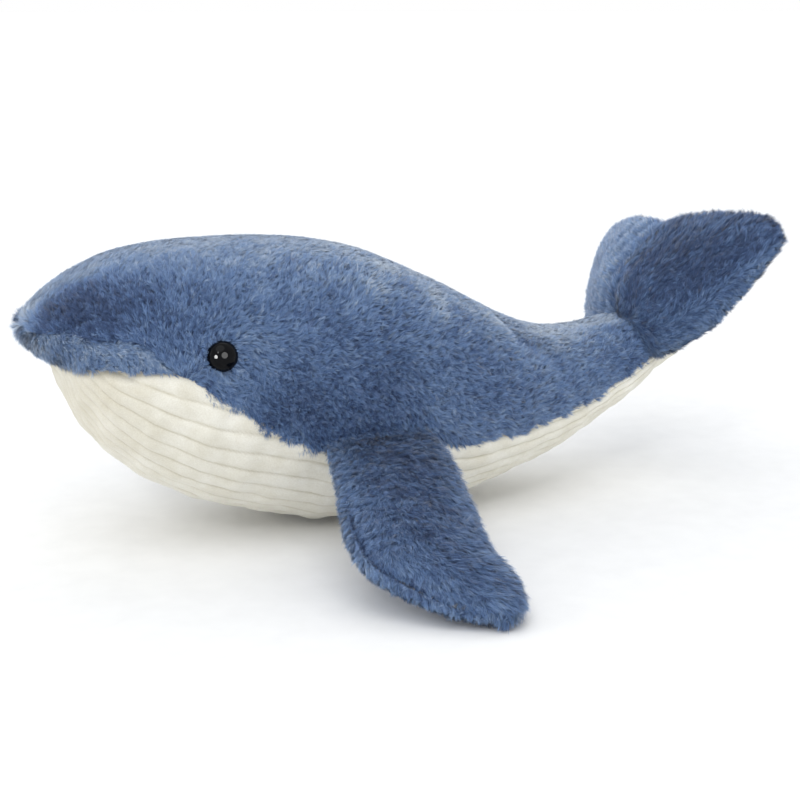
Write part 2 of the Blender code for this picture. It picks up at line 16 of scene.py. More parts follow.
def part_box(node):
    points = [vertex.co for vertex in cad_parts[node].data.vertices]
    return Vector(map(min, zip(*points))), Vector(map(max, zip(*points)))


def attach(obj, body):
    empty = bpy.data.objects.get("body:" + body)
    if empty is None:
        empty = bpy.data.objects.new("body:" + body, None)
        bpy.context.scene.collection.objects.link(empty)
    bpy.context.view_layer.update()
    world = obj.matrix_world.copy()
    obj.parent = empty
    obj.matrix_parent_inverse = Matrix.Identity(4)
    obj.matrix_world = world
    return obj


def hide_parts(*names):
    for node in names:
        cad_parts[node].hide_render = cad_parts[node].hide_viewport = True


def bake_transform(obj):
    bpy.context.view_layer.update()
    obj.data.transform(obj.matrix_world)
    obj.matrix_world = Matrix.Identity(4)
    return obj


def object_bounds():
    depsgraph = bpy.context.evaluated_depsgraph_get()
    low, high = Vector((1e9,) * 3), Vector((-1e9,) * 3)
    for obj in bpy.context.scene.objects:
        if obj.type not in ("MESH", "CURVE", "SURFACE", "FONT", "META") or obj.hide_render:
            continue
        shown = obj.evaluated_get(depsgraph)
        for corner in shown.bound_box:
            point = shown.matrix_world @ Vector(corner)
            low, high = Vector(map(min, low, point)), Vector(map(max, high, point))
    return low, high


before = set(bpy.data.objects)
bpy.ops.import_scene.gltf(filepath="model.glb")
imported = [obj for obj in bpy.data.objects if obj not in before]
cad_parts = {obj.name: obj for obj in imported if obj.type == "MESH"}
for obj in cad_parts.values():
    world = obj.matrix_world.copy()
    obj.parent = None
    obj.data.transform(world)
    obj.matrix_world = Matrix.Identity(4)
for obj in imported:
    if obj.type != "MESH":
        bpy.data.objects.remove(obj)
CAD_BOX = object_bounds()
FLOOR_Z = CAD_BOX[0][2]

FUR_SHARE = 1.0
MM = 0.001
LEFT, RIGHT = -1, 1

# ---------------------------------------------------------------- the body's shape
BODY_LENGTH, BODY_HEIGHT, BODY_WIDTH, SNOUT_X = 0.406, 0.168, 0.156, -0.21845
# Rows from snout to tail: back x, back z, belly x, belly z, half width, as shares
BODY_ROWS = np.array((
    (0.000, 0.752, 0.000, 0.752, 0.000),
    (0.006, 0.788, 0.004, 0.705, 0.200),
    (0.023, 0.824, 0.014, 0.660, 0.335),
    (0.052, 0.876, 0.038, 0.606, 0.475),
    (0.088, 0.930, 0.055, 0.480, 0.610),
    (0.129, 0.972, 0.085, 0.357, 0.735),
    (0.190, 0.996, 0.135, 0.238, 0.845),
    (0.259, 1.002, 0.211, 0.131, 0.926),
    (0.335, 0.998, 0.298, 0.062, 0.978),
    (0.409, 0.979, 0.382, 0.006, 1.000),
    (0.483, 0.936, 0.455, -0.003, 0.984),
    (0.552, 0.864, 0.545, 0.004, 0.932),
    (0.618, 0.786, 0.618, 0.030, 0.856),
    (0.680, 0.704, 0.693, 0.078, 0.762),
    (0.737, 0.640, 0.762, 0.130, 0.664),
    (0.791, 0.604, 0.823, 0.196, 0.572),
    (0.842, 0.598, 0.877, 0.262, 0.496),
    (0.888, 0.614, 0.923, 0.316, 0.430),
    (0.928, 0.632, 0.961, 0.381, 0.375),
    (0.960, 0.644, 0.985, 0.420, 0.360),
    (0.990, 0.622, 1.004, 0.462, 0.335),
    (1.010, 0.540, 1.010, 0.540, 0.000),
))
WIDEST_LEVEL, ROUNDNESS = 0.46, 2.2
SEAM_LEVELS = np.array((
    0.10, 0.10, 0.10, 0.15, 0.36, 0.47, 0.515, 0.445, 0.350, 0.315, 0.315,
    0.340, 0.348, 0.352, 0.375, 0.368, 0.394, 0.400, 0.420, 0.470, 0.490, 0.500,
))
CREASE_LEVELS = np.array((
    0.50, 0.50, 0.54, 0.53, 0.56, 0.61, 0.555, 0.530, 0.520, 0.500, 0.500,
    0.510, 0.520, 0.530, 0.550, 0.560, 0.580, 0.580, 0.600, 0.600, 0.600, 0.600,
))
CHIN_ROW, CHIN_END_ROW = 2.6, 3.25
LIP_MERGE_ROW, LIP_END_ROW = 5.4, 6.2

# ---------------------------------------------------------------- fluke, flippers, eyes
FLUKE_PIVOT = Vector((0.16238, 0.0, 0.08501))
FLUKE_RISE, FLUKE_LEAN = 64.0, 9.0
FLUKE_HALF_WIDTH, FLUKE_CHORD, FLUKE_THICKNESS = 0.0955, 0.086, 0.031
LOBE_SWEEP = {LEFT: 0.013, RIGHT: 0.025}
FLUKE_ROWS = np.array((
    (0.000, 0.000, 0.942, 1.00),
    (0.200, -0.030, 0.990, 1.00),
    (0.400, -0.020, 1.012, 0.96),
    (0.560, 0.050, 1.020, 0.88),
    (0.700, 0.170, 1.025, 0.80),
    (0.820, 0.370, 1.020, 0.70),
    (0.910, 0.540, 1.000, 0.58),
    (0.970, 0.670, 0.955, 0.45),
    (1.000, 0.760, 0.900, 0.34),
))
FLIPPER_PIVOT = {side: np.array((-0.03364, side * 0.08209, 0.05913)) for side in (LEFT, RIGHT)}
FLIPPER_LENGTH, FLIPPER_WIDTH, FLIPPER_THICKNESS, FLIPPER_SINK = 0.145, 0.072, 0.027, 0.0005
FLIPPER_ROWS = np.array((
    (0.000, -0.130, 0.465, 0.39),
    (0.060, -0.130, 0.475, 0.62),
    (0.180, -0.150, 0.490, 0.88),
    (0.320, -0.205, 0.505, 1.00),
    (0.500, -0.275, 0.525, 1.00),
    (0.680, -0.295, 0.500, 0.95),
    (0.820, -0.185, 0.430, 0.86),
    (0.920, -0.100, 0.330, 0.74),
    (0.975, -0.040, 0.225, 0.60),
    (1.000, 0.000, 0.125, 0.46),
))
EYE_ROW, EYE_LEVEL, EYE_RADIUS = 6.78, 0.625, 0.0083
EYE_BASE_RADIUS, EYE_BASE_DEPTH, EYE_SINK, EYE_DOME_HEIGHT = 0.0060, 0.0034, 0.0022, 0.0066
# The pile keeps clear of the eye up to the first distance, is whole past the second, and is
# turned away from it up to about the third
EYE_CLEAR, EYE_WHOLE, EYE_PARTING = 0.0068, 0.0076, 0.0115

# ---------------------------------------------------------------- pile and cloth
BODY_PILE = {"length": 0.0056, "width": 0.00029, "rise": 55.0, "rest": 12.0, "swirl": 24.0, "gather": 0.50,
             "root": 0.0009, "mottle": 0.13}
LIMB_PILE = {"length": 0.0078, "width": 0.00028, "rise": 42.0, "rest": 3.0, "swirl": 13.0, "gather": 0.42,
             "root": 0.0011, "mottle": 0.10}
BLUE_INSET, LIMB_INSET, CREAM_INSET = 0.0026, 0.0024, 0.0010
PER_CLUMP = 7
TIP_ROUND, ROOT_TUCK = 0.0032, 0.009
MIN_HALF_THICKNESS, FLOOR_CLEARANCE = 0.8 * MM, 0.2 * MM
# How deep the edges of the cloth are sewn in, and how far from them that reaches
SEAM_DEPTH, SEAM_REACH = 1.6 * MM, 3.2 * MM
# The last rows that carry blue pile, the blue skins and the belly's skin
LAST_PILE_ROW, LAST_SIDE_ROW, LAST_BELLY_ROW = 20.88, 20.94, 20.97
# Blades of each piece. The sides are split in three: name, from x, to x, blades, seed
SIDE_PILES = (("head", -1, -0.095, 62000, 31), ("flank", -0.095, 0.03, 66000, 34), ("tail", 0.03, 1, 40000, 37))
LIP_BLADES, FLUKE_BLADES = 12000, 60000
UPPER_FLIPPER_BLADES, LOWER_FLIPPER_BLADES = 40000, 28000
# Where a rim starts, across a lobe or a flipper, and how far its pile faces the light of the sheet above
RIM_START, FLUKE_RIM_TILT, FLIPPER_RIM_TILT = 0.70, 0.9, 0.7

# How the pile lies on the body: row, angle round the section, and the way its tips point, in
# degrees from tailward towards the back line
NAP = np.array((
    (1.1, 45, 178), (2.5, 85, 34), (2.8, 56, 51), (4.1, 41, 107), (4.3, 70, 103), (5.2, 38, 98),
    (5.4, 68, 116), (6.0, 38, 85), (6.1, 63, 54), (6.7, 39, 51), (7.4, 44, 49), (7.7, 69, 51),
    (8.1, 45, 73), (8.9, 46, 80), (8.8, 71, 32), (9.8, 52, 13), (11.1, 65, 8), (12.4, 68, 12),
    (3.4, 16, 200), (5.2, 17, 148), (5.4, 25, 121), (6.0, 20, 110), (7.4, 23, 3), (8.0, 20, -3),
    (7.2, 12, -25), (6.9, 3, -37), (8.0, 5, -34), (8.8, -4, -64), (8.1, -6, -53), (8.7, 22, 20),
    (9.5, 25, 25), (9.5, 9, -60), (10.3, 8, -70), (10.6, 30, 30), (11.3, 29, 10),
    (11.1, 8, -55), (10.5, 43, 46), (12.5, 41, 8), (13.7, 41, 12), (15.2, 48, -2),
    (13.3, 13, 18), (12.2, 6, 20), (15.4, 9, 5), (17.6, 39, -25), (17.8, 85, -15), (18.5, 10, 0),
))
NAP_REACH = 0.017
# Places where the pile stands up: row, angle, degrees, reach in metres
STANDING = np.array((
    (8.0, 1, 38, 0.015), (9.2, -3, 34, 0.015), (3.6, 34, 16, 0.020), (5.4, 38, 12, 0.025), (9.8, 14, 22, 0.016),
    (8.6, 36, 10, 0.020), (10.4, 22, 14, 0.016), (6.78, 17.8, 16, 0.007),
))
# Places where the tufts turn at random: row, angle, share, reach in metres
CURLED = np.array((
    (8.0, 1, 1.0, 0.015), (9.2, -3, 0.8, 0.014), (9.7, 12, 0.6, 0.014), (3.2, 36, 0.7, 0.014),
    (5.2, 62, 0.45, 0.018), (6.8, 60, 0.35, 0.016), (10.9, 20, 0.5, 0.014), (8.4, 34, 0.35, 0.016),
    (13.0, 25, 0.25, 0.016), (16.5, 20, 0.25, 0.016),
))
# Patches of lighter and darker pile: row, angle, change of tone, reach in metres
TONE_AND_SHADE_PATCHES = np.array((
    (8.0, 0, -0.19, 0.017), (9.2, -4, -0.12, 0.016), (5.3, 36, -0.08, 0.022), (6.3, 40, -0.10, 0.018),
    (2.6, 36, -0.34, 0.013), (3.8, 44, -0.20, 0.014), (4.4, 20, -0.18, 0.014), (8.2, 32, -0.08, 0.018),
    (9.6, 14, -0.14, 0.016), (10.0, 67, 0.26, 0.007), (9.7, 52, 0.26, 0.006), (11.1, 58, 0.36, 0.007),
    (11.0, 47, 0.36, 0.006), (9.2, 50, 0.10, 0.016), (13.5, 40, 0.06, 0.020), (7.4, 22, 0.12, 0.013),
    (12.2, 60, 0.16, 0.012), (14.6, 62, 0.14, 0.014), (11.6, 14, -0.12, 0.014), (11.9, 32, -0.08, 0.010),
    (10.9, 5, 0.10, 0.009), (18.2, 25, -0.18, 0.016), (7.0, 72, 0.06, 0.025), (0.4, 60, 0.24, 0.009),
    # Painted shade in the dents and painted light around them, on the hump:
    (13.2, 55, -0.50, 0.0040), (13.5, 49, -0.50, 0.0040), (13.9, 43, -0.46, 0.0042), (14.2, 38, -0.24, 0.0050),
    (12.7, 57, 0.18, 0.006), (12.9, 46, 0.24, 0.007), (12.3, 50, 0.14, 0.010), (14.6, 50, 0.10, 0.010),
))
# Dents sewn or pressed into the body: row, angle, depth in metres, reach in metres
DENTS = np.array(((13.3, 52, 0.0062, 0.0055), (12.9, 61, 0.0032, 0.0050), (13.9, 44, 0.0056, 0.0055),
                  (14.3, 37, 0.0024, 0.0060), (12.5, 50, -0.0024, 0.0090)))


# ---------------------------------------------------------------- numbers and shapes
def unit(vectors):
    return vectors / (np.linalg.norm(vectors, axis=-1, keepdims=True) + 1e-12)


def smooth(value, low, high):
    t = np.clip((value - low) / (high - low), 0, 1)
    return t * t * (3 - 2 * t)


def rows_at(table, place):
    """Rows of a table at places between its rows, on Catmull-Rom curves."""
    table = table if table.ndim > 1 else table[:, None]
    place = np.clip(np.asarray(place, float), 0, len(table) - 1)
    i = np.minimum(place.astype(int), len(table) - 2)
    t = (place - i)[..., None]
    last = len(table) - 1
    a, b, c, d = (table[np.clip(i + k, 0, last)] for k in (-1, 0, 1, 2))
    return b + 0.5 * t * (c - a + t * (2 * a - 5 * b + 4 * c - d + t * (3 * (b - c) + d - a)))


def level_angle(level):
    """The angle round a section, in radians, at which the surface reaches a level."""
    rise = np.where(level < WIDEST_LEVEL, (level - WIDEST_LEVEL) / WIDEST_LEVEL,
                    (level - WIDEST_LEVEL) / (1 - WIDEST_LEVEL))
    return np.copysign(np.arcsin(np.clip(np.abs(rise), 0, 1) ** (ROUNDNESS / 2)), rise)


def body_points(row, angle, side):
    """Points of the body: the angle is -pi/2 on the belly line and pi/2 on the back."""
    r = rows_at(BODY_ROWS, row)
    sine, cosine = np.sin(angle), np.cos(angle)
    rise = np.sign(sine) * np.abs(sine) ** (2 / ROUNDNESS)
    reach = np.abs(cosine) ** (2 / ROUNDNESS)
    level = WIDEST_LEVEL + rise * np.where(rise > 0, 1 - WIDEST_LEVEL, WIDEST_LEVEL)
    return np.stack([
        SNOUT_X + BODY_LENGTH * (r[..., 2] + level * (r[..., 0] - r[..., 2])),
        side * np.maximum(r[..., 4], 0) * BODY_WIDTH / 2 * reach,
        BODY_HEIGHT * (r[..., 3] + level * (r[..., 1] - r[..., 3])),
    ], -1)


def seam_angle(row):
    """Where the blue cloth meets the cream. It starts at the belly line, under the chin."""
    table = level_angle(rows_at(SEAM_LEVELS, row)[..., 0])
    opening = np.sqrt(np.clip((row - CHIN_ROW) / (CHIN_END_ROW - CHIN_ROW), 0, 1))
    return -np.pi / 2 + (table + np.pi / 2) * opening


def crease_angle(row):
    """The fold above the lip, which runs into the seam at the corner of the mouth."""
    fold = level_angle(rows_at(CREASE_LEVELS, row)[..., 0])
    merged = smooth(row, LIP_MERGE_ROW, LIP_END_ROW)
    return fold + (seam_angle(row) - fold) * merged


def slopes(points):
    return np.gradient(points, axis=0), np.gradient(points, axis=1)


def outward_normals(points, sense):
    """Unit normals of a grid. Rows and columns without length take their neighbour's."""
    along, across = slopes(points)
    normal = np.cross(along, across) * sense
    size = np.linalg.norm(normal, axis=-1)
    good = size > 1e-12
    normal = unit(normal)
    for i in range(len(normal)):
        if not good[i].all():
            near = 1 if i == 0 else i - 1
            normal[i][~good[i]] = normal[near][~good[i]]
    return normal


def arc_from_edge(points):
    """The distance of each grid point from the first column, along its row."""
    step = np.linalg.norm(np.diff(points, axis=1), axis=2)
    return np.concatenate([np.zeros((len(points), 1)), np.cumsum(step, 1)], 1)


def wave(points, size, seed, octaves=2):
    """Smooth noise of about unit height from sums of sines, with features of a given size."""
    rng = np.random.default_rng(seed)
    total = np.zeros(points.shape[:-1])
    for octave in range(octaves):
        for _ in range(7):
            direction = unit(rng.normal(size=3)) * rng.uniform(0.6, 1.5)
            total += np.sin(points @ direction * (2 * np.pi / size * 2 ** octave)
                            + rng.uniform(0, 2 * np.pi)) / 2 ** octave
    return total / 3.2


# ---------------------------------------------------------------- meshes
def new_object(name, points, loops, sizes, material, uv=None):
    mesh = bpy.data.meshes.new(name)
    mesh.vertices.add(len(points))
    mesh.vertices.foreach_set("co", np.ascontiguousarray(points, np.float32).ravel())
    mesh.loops.add(len(loops))
    mesh.loops.foreach_set("vertex_index", np.ascontiguousarray(loops, np.int32))
    mesh.polygons.add(len(sizes))
    starts = np.concatenate([[0], np.cumsum(sizes)[:-1]]).astype(np.int32)
    mesh.polygons.foreach_set("loop_start", starts)
    mesh.polygons.foreach_set("use_smooth", np.ones(len(sizes), bool))
    if uv is not None:
        layer = mesh.uv_layers.new(name="OFBake")
        layer.data.foreach_set("uv", np.ascontiguousarray(uv[loops], np.float32).ravel())
    mesh.update(calc_edges=True)
    mesh.materials.append(material)
    item = bpy.data.objects.new(name, mesh)
    bpy.context.scene.collection.objects.link(item)
    return item


def grid_loops(rows, columns, first=0, flip=False):
    """The quads of a grid whose points start at first, turned over if flip is set."""
    i, j = np.meshgrid(np.arange(rows - 1), np.arange(columns - 1), indexing="ij")
    a = first + i * columns + j
    quads = np.stack([a, a + columns, a + columns + 1, a + 1], -1).reshape(-1, 4)
    return quads[:, ::-1] if flip else quads


def surface(name, grids, material, values=()):
    """One object from grids of points, each a (points, flip) pair, joined where they touch."""
    points, quads, first = [], [], 0
    for grid, flip in grids:
        points.append(grid.reshape(-1, 3))
        quads.append(grid_loops(*grid.shape[:2], first, flip))
        first += grid.shape[0] * grid.shape[1]
    quads = np.concatenate(quads)
    item = new_object(name, np.concatenate(points), quads.ravel(), np.full(len(quads), 4), material)
    for key, value in dict(values).items():
        layer = item.data.attributes.new(key, "FLOAT", "POINT")
        layer.data.foreach_set("value", np.ascontiguousarray(value, np.float32).ravel())
    weld(item)
    return item


def weld(item):
    """Joins points that lie at one place, and clears faces without area."""
    work = bmesh.new()
    work.from_mesh(item.data)
    bmesh.ops.remove_doubles(work, verts=work.verts, dist=0.00003)
    bmesh.ops.dissolve_degenerate(work, edges=work.edges, dist=0.00001)
    work.to_mesh(item.data)
    work.free()


# ---------------------------------------------------------------- pile
def sample(fields, count, rng, density):
    """Random places on a grid, even by area, with every field read there."""
    points = fields["point"]
    along, across = np.diff(points, axis=0)[:, :-1], np.diff(points, axis=1)[:-1]
    area = np.linalg.norm(np.cross(along, across), axis=-1)
    chance = area * 0.25 * (density[:-1, :-1] + density[1:, :-1] + density[:-1, 1:] + density[1:, 1:])
    cell = rng.choice(chance.size, count, p=(chance / chance.sum()).ravel())
    i, j = np.divmod(cell, chance.shape[1])
    s, t = rng.random(count), rng.random(count)

    def read(grid):
        low_s, low_t = 1 - s, 1 - t
        weights = (low_s * low_t, s * low_t, low_s * t, s * t)
        corners = (grid[i, j], grid[i + 1, j], grid[i, j + 1], grid[i + 1, j + 1])
        return sum(c * (w[:, None] if c.ndim > 1 else w) for c, w in zip(corners, weights))

    return {key: read(grid) for key, grid in fields.items()}


def grow(name, fields, count, seed, material, style, density=None):
    """Tufts of fine blades on a grid, as one mesh. Each blade is a quad and a tip triangle.

    fields holds grids: point, normal, lit (the normal that shades the pile), flow (the way it
    lies), tone, long (a factor on its length), lift (in degrees), flat (a factor on its angle,
    which also calms its tone) and curl (0 to 1, how far the tufts turn at random).
    """
    rng = np.random.default_rng(seed)
    count = int(count * FUR_SHARE)
    length, width, gather = style["length"], style["width"], style["gather"]
    rise, rest, swirl, root_spread = style["rise"], style["rest"], style["swirl"], style["root"]
    density = np.ones(fields["point"].shape[:2]) if density is None else density
    clumps = count // PER_CLUMP
    at = sample(fields, clumps, rng, density)
    normal, flow = unit(at["normal"]), at["flow"]
    flow = unit(flow - normal * (flow * normal).sum(-1, keepdims=True))
    side = np.cross(flow, normal)
    curl = np.clip(at["curl"], 0, 1)
    turn = np.radians(rng.normal(0, 1, clumps) * (swirl + 65 * curl))[:, None]
    flow = flow * np.cos(turn) + side * np.sin(turn)
    side = np.cross(flow, normal)
    clump_tone = rng.normal(0, style["mottle"], clumps)
    clump_long = rng.uniform(0.82, 1.12, clumps)
    clump_rise = rng.normal(0, 7, clumps)
    lean = rng.normal(0, 0.32, (clumps, 2))

    clump_tone += 0.055 * wave(at["point"], 0.006, seed + 500)
    which = np.repeat(np.arange(clumps), PER_CLUMP)
    strands = len(which)
    reach = root_spread * np.sqrt(rng.random(strands))
    round_angle = rng.uniform(0, 2 * np.pi, strands)
    n, f, w = normal[which], flow[which], side[which]
    calm = 0.3 + 0.7 * at["flat"][which]
    offset = (f * np.cos(round_angle)[:, None] * 1.6 + w * np.sin(round_angle)[:, None]) * reach[:, None]
    size = (length * at["long"][which] * clump_long[which] * rng.uniform(0.75, 1.05, strands))[:, None]
    lift = (at["lift"] + clump_rise)[which]
    flat, loose = at["flat"][which], 1 + 1.5 * curl[which]
    low = np.radians((rest + lift) * flat + rng.normal(0, 4, strands))
    high = np.radians((rise + lift * 0.7) * flat + rng.normal(0, 5, strands))
    spin = np.radians(rng.normal(0, 7, strands) * loose)[:, None]
    f = f * np.cos(spin) + w * np.sin(spin)
    w = np.cross(f, n)
    twist = np.radians(rng.normal(0, 25, strands))[:, None]
    blade = w * np.cos(twist) + n * np.sin(twist)

    points = np.empty((strands, 5, 3))
    for slot_at, s, half in ((0, 0.0, 0.5), (2, 0.5, 0.42), (4, 1.0, 0.0)):
        angle = high + (low - high) * s
        ahead = (np.sin(angle) - np.sin(high)) / (low - high)
        up = (np.cos(high) - np.cos(angle)) / (low - high)
        centre = (at["point"][which] + offset * (1 - gather * s)
                  + size * (f * ahead[:, None] + n * up[:, None]))
        if half:
            points[:, slot_at] = centre - blade * width * half
            points[:, slot_at + 1] = centre + blade * width * half
        else:
            points[:, slot_at] = centre
    points[..., 2] = np.maximum(points[..., 2], FLOOR_Z + FLOOR_CLEARANCE)
    stray = w * lean[which, :1] + f * lean[which, 1:] + blade * rng.normal(0, 0.15, (strands, 1))
    shade = unit(unit(at["lit"][which]) + stray * calm[:, None])
    tone = np.clip(at["tone"][which] + (clump_tone[which] + rng.normal(0, 0.09, strands)) * calm, 0.02, 0.98)
    uv = np.empty((strands, 5, 2))
    uv[..., 0] = tone[:, None]
    uv[..., 1] = np.array((0.02, 0.02, 0.5, 0.5, 0.98))
    first = (np.arange(strands) * 5)[:, None]
    loops = (first + np.array((0, 1, 3, 2, 2, 3, 4))).ravel()
    sizes = np.tile((4, 3), strands)
    item = new_object(name, points.reshape(-1, 3), loops, sizes, material, uv.reshape(-1, 2))
    item.data.normals_split_custom_set_from_vertices(np.repeat(shade, 5, 0).astype(np.float32))
    return item


# ---------------------------------------------------------------- materials
def linear(red, green, blue):
    """A colour written as on screen, 0 to 255, in linear light."""
    values = (c / 255 for c in (red, green, blue))
    return tuple(c / 12.92 if c <= 0.04045 else ((c + 0.055) / 1.055) ** 2.4 for c in values) + (1.0,)


class Nodes:
    """A short way to build a material's node tree."""

    def __init__(self, name, roughness, sockets=()):
        self.material = bpy.data.materials.new(name)
        self.material.use_nodes = True
        self.tree = self.material.node_tree
        self.shader = self.tree.nodes["Principled BSDF"]
        self.shader.inputs["Roughness"].default_value = roughness
        for key, value in dict(sockets).items():
            self.shader.inputs[key].default_value = value

    def add(self, kind, inputs=(), **settings):
        node = self.tree.nodes.new("ShaderNode" + kind)
        for key, value in settings.items():
            setattr(node, key, value)
        for key, value in dict(inputs).items():
            socket = node.inputs[key]
            if hasattr(value, "links"):
                self.tree.links.new(value, socket)
            else:
                socket.default_value = value
        return node

    def ramp(self, value, stops):
        node = self.add("ValToRGB", {"Fac": value})
        marks = node.color_ramp.elements
        while len(marks) < len(stops):
            marks.new(0.5)
        for mark, (place, colour) in zip(marks, stops):
            mark.position, mark.color = place, colour
        return node.outputs["Color"]

    def colour(self, socket):
        self.tree.links.new(socket, self.shader.inputs["Base Color"])

    def bump(self, height, distance, strength):
        node = self.add("Bump", {"Height": height, "Distance": distance, "Strength": strength})
        self.tree.links.new(node.outputs["Normal"], self.shader.inputs["Normal"])

    def outward_on_both_faces(self):
        """A blade is lit as its tuft is, whichever of its faces shows."""
        face = self.add("NewGeometry")
        keep = self.add("Math", {0: face.outputs["Backfacing"], 1: -2.0, 2: 1.0}, operation="MULTIPLY_ADD")
        turned = self.add("VectorMath", {0: face.outputs["Normal"], 3: keep.outputs[0]}, operation="SCALE")
        self.tree.links.new(turned.outputs[0], self.shader.inputs["Normal"])

    def noise(self, vector, scale, detail=3.0, roughness=0.55):
        return self.add("TexNoise", {"Vector": vector, "Scale": scale, "Detail": detail,
                                     "Roughness": roughness}).outputs["Fac"]

    def object_vector(self):
        return self.add("TexCoord").outputs["Object"]


def multiply(nodes, first, second):
    node = nodes.add("Mix", {0: 1.0, 6: first, 7: second}, data_type="RGBA", blend_type="MULTIPLY")
    return node.outputs[2]


def pile_material(name, tones, root_share, tip_share):
    """Pile whose map runs from dark to light tufts across, and from root to tip upwards: painted shade at the
    roots and painted light at the tips.
    """
    nodes = Nodes(name, 0.62, {"Sheen Weight": 0.30, "Sheen Roughness": 0.45})
    place = nodes.add("SeparateXYZ", {0: nodes.add("UVMap", uv_map="OFBake").outputs["UV"]})
    tone = nodes.ramp(place.outputs["X"], tones)
    # Painted shade towards each blade's root and painted light towards its tip.
    root_shade_tip_light = [(s, (v, v, v, 1.0)) for s, v in ((0.0, root_share), (0.45, 0.5 * (root_share + tip_share)),
                                             (1.0, tip_share))]
    nodes.colour(multiply(nodes, tone, nodes.ramp(place.outputs["Y"], root_shade_tip_light)))
    nodes.outward_on_both_faces()
    return nodes.material


def backing_material(name, dark, light):
    """The knitted backing and the roots of the pile, seen between the tufts."""
    nodes = Nodes(name, 0.85)
    where = nodes.object_vector()
    fine = nodes.noise(where, 900.0, 4.0)
    nodes.colour(nodes.ramp(fine, [(0.30, dark), (0.72, light)]))
    nodes.bump(fine, 0.0006, 0.8)
    return nodes.material


def cream_material(name):
    """Short sheared cream pile: fine nap, soft clouds of tone, and painted shade that greys it in the rib grooves,
    along its edges and towards the chin.
    """
    nodes = Nodes(name, 0.80, {"Sheen Weight": 0.25, "Sheen Roughness": 0.6})
    where = nodes.object_vector()
    fine = nodes.noise(where, 1400.0, 4.0, 0.6)
    clouds = nodes.noise(where, 70.0, 2.0)
    nap = nodes.ramp(fine, [(0.28, linear(230, 226, 213)), (0.70, linear(245, 243, 233))])
    cloud = nodes.ramp(clouds, [(0.30, linear(240, 238, 232)), (0.70, linear(255, 255, 255))])
    # Painted shade: the cream greys where the mesh's fold value is high.
    fold = nodes.add("Attribute", attribute_name="fold").outputs["Fac"]
    painted_shade_colour = nodes.ramp(fold, [(0.0, (1, 1, 1, 1)), (1.0, linear(226, 222, 212))])
    nodes.colour(multiply(nodes, multiply(nodes, nap, cloud), painted_shade_colour))
    coarse = nodes.noise(where, 420.0, 3.0)
    mixed = nodes.add("Math", {0: fine, 1: coarse}, operation="ADD").outputs[0]
    nodes.bump(mixed, 0.0003, 0.6)
    return nodes.material


def gloss_material(name):
    nodes = Nodes(name, 0.05, {"Specular IOR Level": 0.11})
    where = nodes.object_vector()
    dust = nodes.noise(where, 260.0, 3.0)
    nodes.colour(nodes.ramp(dust, [(0.35, linear(3, 4, 7)), (0.85, linear(10, 11, 15))]))
    nodes.bump(nodes.noise(where, 120.0, 2.0), 0.00002, 0.2)
    return nodes.material


def washer_material(name):
    nodes = Nodes(name, 0.45)
    where = nodes.object_vector()
    grain = nodes.noise(where, 300.0)
    nodes.colour(nodes.ramp(grain, [(0.3, linear(206, 208, 206)), (0.7, linear(226, 227, 224))]))
    nodes.bump(nodes.noise(where, 700.0), 0.0001, 0.4)
    return nodes.material


BLUE_TONES = [(0.0, linear(45, 70, 113)), (0.12, linear(56, 82, 128)), (0.30, linear(95, 128, 178)),
              (0.65, linear(132, 160, 200)), (1.0, linear(192, 207, 226))]
blue_pile = pile_material("blue_long_pile", BLUE_TONES, 0.56, 1.16)
blue_backing = backing_material("blue_backing", linear(84, 106, 146), linear(114, 138, 178))
cream_pile = cream_material("cream_short_pile")
eye_gloss = gloss_material("eye_gloss")
washer_plastic = washer_material("washer_plastic_grained")


# ---------------------------------------------------------------- body skins
def body_fields(rows, low, high, columns, side, inset, first_gap=0.0, last_gap=0.0):
    """A grid on one side of the body between two angles, with its normals."""
    share = np.linspace(0, 1, columns)
    angle = low[:, None] + (high - low)[:, None] * share[None]
    row = np.repeat(rows[:, None], columns, 1)
    shell = body_points(row, angle, side)
    normal = outward_normals(shell, -side)
    arc = arc_from_edge(shell)
    back = arc[:, -1:] - arc
    normal = unit(normal + (1 - smooth(row, 0, 1.4))[..., None] * np.array((-1.2, 0, 0.1)))
    depth = (inset + first_gap * np.exp(-(arc / SEAM_REACH) ** 2)
             + last_gap * np.exp(-(back / SEAM_REACH) ** 2))
    return row, angle, shell - normal * depth[..., None], normal, arc


def body_frame(points, side):
    """Unit directions towards the tail and up round the section, on the surface."""
    along, across = slopes(points)
    return unit(along), unit(across)


SLOPE_STEP = 0.01
# Where each eye sits on the body, and the way it faces
EYES = {}
for side in (LEFT, RIGHT):
    around = level_angle(np.array(EYE_LEVEL))
    place = body_points(np.array(EYE_ROW), around, side)
    along = (body_points(np.array(EYE_ROW + SLOPE_STEP), around, side)
             - body_points(np.array(EYE_ROW - SLOPE_STEP), around, side))
    across = (body_points(np.array(EYE_ROW), around + SLOPE_STEP, side)
              - body_points(np.array(EYE_ROW), around - SLOPE_STEP, side))
    out = unit(np.cross(along, across))
    EYES[side] = (place, out if out[1] * side > 0 else -out)


def side_flow(points, crest, along, across, side, seed):
    """The way the pile lies on the head, the flank and the tail."""
    ahead, up = np.full(points.shape[:2], 0.02), np.zeros(points.shape[:2])
    for row, degrees, lie in NAP:
        centre = body_points(np.array(row), np.radians(degrees), side)
        near = np.exp(-((points - centre) ** 2).sum(-1) / (2 * NAP_REACH ** 2))
        ahead, up = ahead + near * np.cos(np.radians(lie)), up + near * np.sin(np.radians(lie))
    size = np.hypot(up, ahead)
    ahead, up = ahead / size * (1 - crest) + crest, up / size * (1 - crest)
    turn = (np.arctan2(up, ahead) + np.radians(13) * wave(points, 0.030, seed)
            + np.radians(9) * wave(points, 0.011, seed + 5))
    return along * np.cos(turn)[..., None] + across * np.sin(turn)[..., None]


